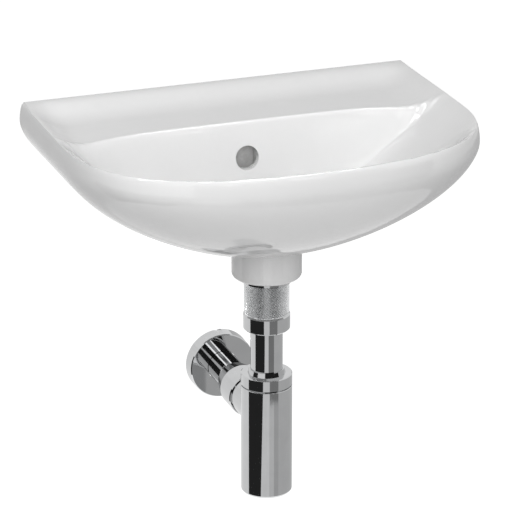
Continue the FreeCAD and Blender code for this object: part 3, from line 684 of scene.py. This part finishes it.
class BasinStudioSettings(bpy.types.PropertyGroup):
    air_level: bpy.props.FloatProperty(
        name="Air Level", description="Even light from all round", min=0.0, default=0.14)
    top_watts: bpy.props.FloatProperty(
        name="Top Lamp", description="Power of the soft box overhead", subtype="POWER", min=0.0,
        default=3.5)
    left_watts: bpy.props.FloatProperty(
        name="Left Lamp", description="Power of the tall soft box on the left", subtype="POWER",
        min=0.0, default=4.5)
    high_watts: bpy.props.FloatProperty(
        name="High Lamp", description="Power of the soft box above the camera", subtype="POWER",
        min=0.0, default=8.4)
    front_watts: bpy.props.FloatProperty(
        name="Front Lamp", description="Power of the large soft box beside the camera",
        subtype="POWER", min=0.0, default=28.0)
    floor_lift: bpy.props.FloatProperty(
        name="Floor Lift", description="Brightness that the floor shows beyond what lights it",
        min=0.0, default=0.90)
    floor_height: bpy.props.FloatProperty(
        name="Floor Height", description="Height of the floor from the wall screws' level",
        subtype="DISTANCE", default=-0.80)
    camera_place: bpy.props.FloatVectorProperty(
        name="Camera Place", description="Where the camera stands", subtype="TRANSLATION", size=3,
        default=(-0.9298, -2.6038, 0.9188))
    camera_aim: bpy.props.FloatVectorProperty(
        name="Camera Aim", description="Point in the middle of the picture", subtype="TRANSLATION",
        size=3, default=(-0.00983, -0.14378, -0.0865))
    camera_lens: bpy.props.FloatProperty(
        name="Camera Lens", description="Focal length in millimetres", min=1.0, default=202.36)


# ---------------------------------------------------------------- operators


class BASIN_OT_glaze_bowl(bpy.types.Operator):
    """Glaze the basin, paint shade into its overflow, and leave its wall face bare"""

    bl_idname = "wall_basin.glaze_bowl"
    bl_label = "Glaze Bowl"

    def execute(self, context):
        settings = context.scene.basin_glaze
        glaze = finish_named("white_glaze_finish", make_glaze, settings)
        dress(["basin"], glaze)
        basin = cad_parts["basin"].data
        basin.materials.append(finish_named("ground_bisque_finish", make_bisque, settings))
        basin.materials.append(finish_named("passage_glaze_finish", make_passage_painted_shade, settings))
        for face in basin.polygons:
            face.material_index = basin_finish_at(face.center)
        return {"FINISHED"}


class BASIN_OT_polish_waste(bpy.types.Operator):
    """Polish the waste, its plug, the boss flange and the tail nut"""

    bl_idname = "wall_basin.polish_waste"
    bl_label = "Polish Waste"

    def execute(self, context):
        chrome = finish_named("bright_chrome_finish", make_chrome, context.scene.basin_chrome)
        dress(["waste_body", "push_plug", "boss_flange", "tail_nut"], chrome)
        return {"FINISHED"}


class BASIN_OT_knurl_sleeve(bpy.types.Operator):
    """Cut the diamonds of the sleeve's grip"""

    bl_idname = "wall_basin.knurl_sleeve"
    bl_label = "Knurl Sleeve"

    def execute(self, context):
        settings = context.scene.basin_chrome
        centre = (SLEEVE_LOW + SLEEVE_HIGH) / 2.0
        radius = (SLEEVE_HIGH.x - SLEEVE_LOW.x) / 2.0
        made = knurl_mesh(
            centre, radius, SLEEVE_LOW.z, SLEEVE_HIGH.z, settings.knurl_count,
            settings.knurl_depth)
        grip = bpy.data.objects.new("knurled_grip", made)
        context.scene.collection.objects.link(grip)
        made.materials.append(finish_named("knurl_chrome_finish", make_knurl_chrome_painted_light, settings))
        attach(grip, "basin_and_trap")
        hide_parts("knurled_sleeve")
        return {"FINISHED"}


class BASIN_OT_polish_trap(bpy.types.Operator):
    """Polish the bottle trap with its inlet tube, cap and cleaning plug"""

    bl_idname = "wall_basin.polish_trap"
    bl_label = "Polish Trap"

    def execute(self, context):
        chrome = finish_named("bright_chrome_finish", make_chrome, context.scene.basin_chrome)
        trap = ["inlet_tube", "gland_ring", "trap_cap", "trap_body", "cleaning_plug"]
        dress(trap, chrome)
        return {"FINISHED"}


class BASIN_OT_polish_outlet(bpy.types.Operator):
    """Polish the outlet nut, the outlet tube and the wall rosette"""

    bl_idname = "wall_basin.polish_outlet"
    bl_label = "Polish Outlet"

    def execute(self, context):
        chrome = finish_named("bright_chrome_finish", make_chrome, context.scene.basin_chrome)
        dress(["outlet_nut", "outlet_tube", "wall_rosette"], chrome)
        return {"FINISHED"}


class BASIN_OT_dress_catch(bpy.types.Operator):
    """Finish the stem, catch and spring under the push plug"""

    bl_idname = "wall_basin.dress_catch"
    bl_label = "Dress Catch"

    def execute(self, context):
        settings = context.scene.basin_fittings
        brass = finish_named("turned_brass_finish", make_brass, settings)
        dress(["push_plug_stem"], brass)
        acetal = finish_named("white_acetal_finish", make_white_plastic, settings)
        dress(["plug_catch"], acetal)
        wire = finish_named("spring_wire_finish", make_spring_steel, settings)
        dress(["plug_spring"], wire)
        return {"FINISHED"}


class BASIN_OT_dress_seals(bpy.types.Operator):
    """Finish every rubber seal and the rosette's grip"""

    bl_idname = "wall_basin.dress_seals"
    bl_label = "Dress Seals"

    def execute(self, context):
        settings = context.scene.basin_fittings
        rubber = finish_named("seal_rubber_finish", make_black_rubber, settings)
        seals = [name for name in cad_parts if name.endswith("_seal")]
        dress(sorted(seals) + ["rosette_grip"], rubber)
        return {"FINISHED"}


class BASIN_OT_light_stage(bpy.types.Operator):
    """Set up the floor, cards, lamps, air and camera"""

    bl_idname = "wall_basin.light_stage"
    bl_label = "Light Stage"

    def execute(self, context):
        scene = context.scene
        settings = scene.basin_studio
        lay_floor(settings)
        hang_cards(settings.floor_height)
        for name, place, width, height, power in LAMPS:
            soft_lamp(name, place, width, height, getattr(settings, power))
        scene.world = make_world(settings)
        set_camera(scene, settings)
        scene.view_settings.view_transform = "Standard"
        return {"FINISHED"}


class BASIN_PT_workshop(bpy.types.Panel):
    """Sizes, colours and steps of the wall hung basin"""

    bl_label = "Wall Hung Basin"
    bl_space_type = "VIEW_3D"
    bl_region_type = "UI"
    bl_category = "Basin"

    def draw(self, context):
        layout = self.layout
        for title, name, steps in GROUPS:
            box = layout.box()
            box.label(text=title)
            settings = getattr(context.scene, name)
            for key in settings.__annotations__:
                box.prop(settings, key)
            for step in steps:
                box.operator(step.bl_idname)


GROUPS = (
    ("Glaze", "basin_glaze", (BASIN_OT_glaze_bowl,)),
    ("Chrome", "basin_chrome", (
        BASIN_OT_polish_waste, BASIN_OT_knurl_sleeve, BASIN_OT_polish_trap,
        BASIN_OT_polish_outlet)),
    ("Fittings", "basin_fittings", (BASIN_OT_dress_catch, BASIN_OT_dress_seals)),
    ("Studio", "basin_studio", (BASIN_OT_light_stage,)),
)
SETTINGS = {
    "basin_glaze": BasinGlazeSettings,
    "basin_chrome": BasinChromeSettings,
    "basin_fittings": BasinFittingSettings,
    "basin_studio": BasinStudioSettings,
}
OPERATORS = [step for title, name, steps in GROUPS for step in steps]
CLASSES = (*SETTINGS.values(), *OPERATORS, BASIN_PT_workshop)


def register():
    for made in CLASSES:
        bpy.utils.register_class(made)
    for name, group in SETTINGS.items():
        setattr(bpy.types.Scene, name, bpy.props.PointerProperty(type=group))


def unregister():
    for name in SETTINGS:
        delattr(bpy.types.Scene, name)
    for made in reversed(CLASSES):
        bpy.utils.unregister_class(made)


def main():
    register()
    steps = bpy.ops.wall_basin
    steps.glaze_bowl()
    steps.polish_waste()
    steps.knurl_sleeve()
    steps.polish_trap()
    steps.polish_outlet()
    steps.dress_catch()
    steps.dress_seals()
    steps.light_stage()


if __name__ == "__main__":
    main()
